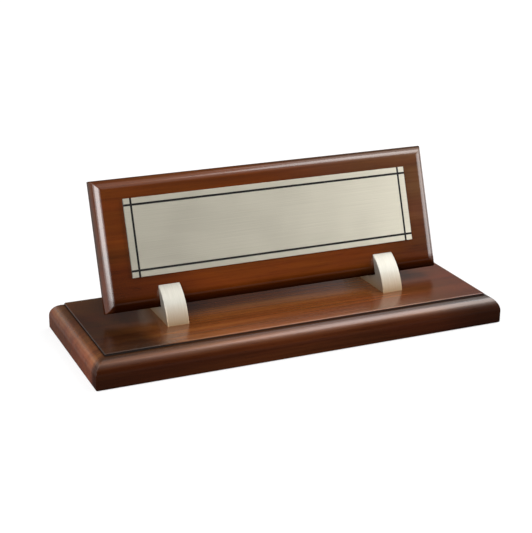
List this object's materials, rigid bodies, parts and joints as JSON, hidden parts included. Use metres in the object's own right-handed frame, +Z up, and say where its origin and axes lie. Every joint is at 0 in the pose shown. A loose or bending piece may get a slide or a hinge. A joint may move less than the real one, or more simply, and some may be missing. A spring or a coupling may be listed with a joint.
{
  "type": "desk name plate",
  "caption": "Free-standing desk name plate: a tilted wooden board with a bare metal plate stands in slotted brass clips on a moulded wooden base.",
  "frame": {"origin": "middle of the rectangle that the base covers, on the surface that the feet rest on", "axes": "+X to the reader's right along the base, +Y from the reader to the back, +Z up"},
  "size_m": [0.282, 0.107, 0.1057],
  "materials": {
    "lacquered_wood": "glossy lacquer over red-brown stain",
    "clip_brass": "brushed, pale gold",
    "plate_metal": "satin, champagne silver",
    "border_enamel": "satin black enamel",
    "tape": "matt foam tape",
    "foot_rubber": "matt",
    "zinc_steel": "zinc plated"
  },
  "bodies": {
    "stand": {"base_board": "lacquered_wood", "front_left_foot": "foot_rubber", "front_right_foot": "foot_rubber", "rear_left_foot": "foot_rubber", "rear_right_foot": "foot_rubber", "left_clip": "clip_brass", "right_clip": "clip_brass", "left_front_screw": "zinc_steel", "left_rear_screw": "zinc_steel", "right_front_screw": "zinc_steel", "right_rear_screw": "zinc_steel", "left_front_washer": "zinc_steel", "left_rear_washer": "zinc_steel", "right_front_washer": "zinc_steel", "right_rear_washer": "zinc_steel"},
    "board": {"name_board": "lacquered_wood", "tape_upper": "tape", "tape_lower": "tape", "name_plate": "plate_metal", "border_enamel": "border_enamel"}
  },
  "joints": [
    {"name": "board_lift", "type": "slide", "parent": "stand", "child": "board", "axis": [0, 0.342, 0.9397], "range_m": [0, 0.04]}
  ]
}
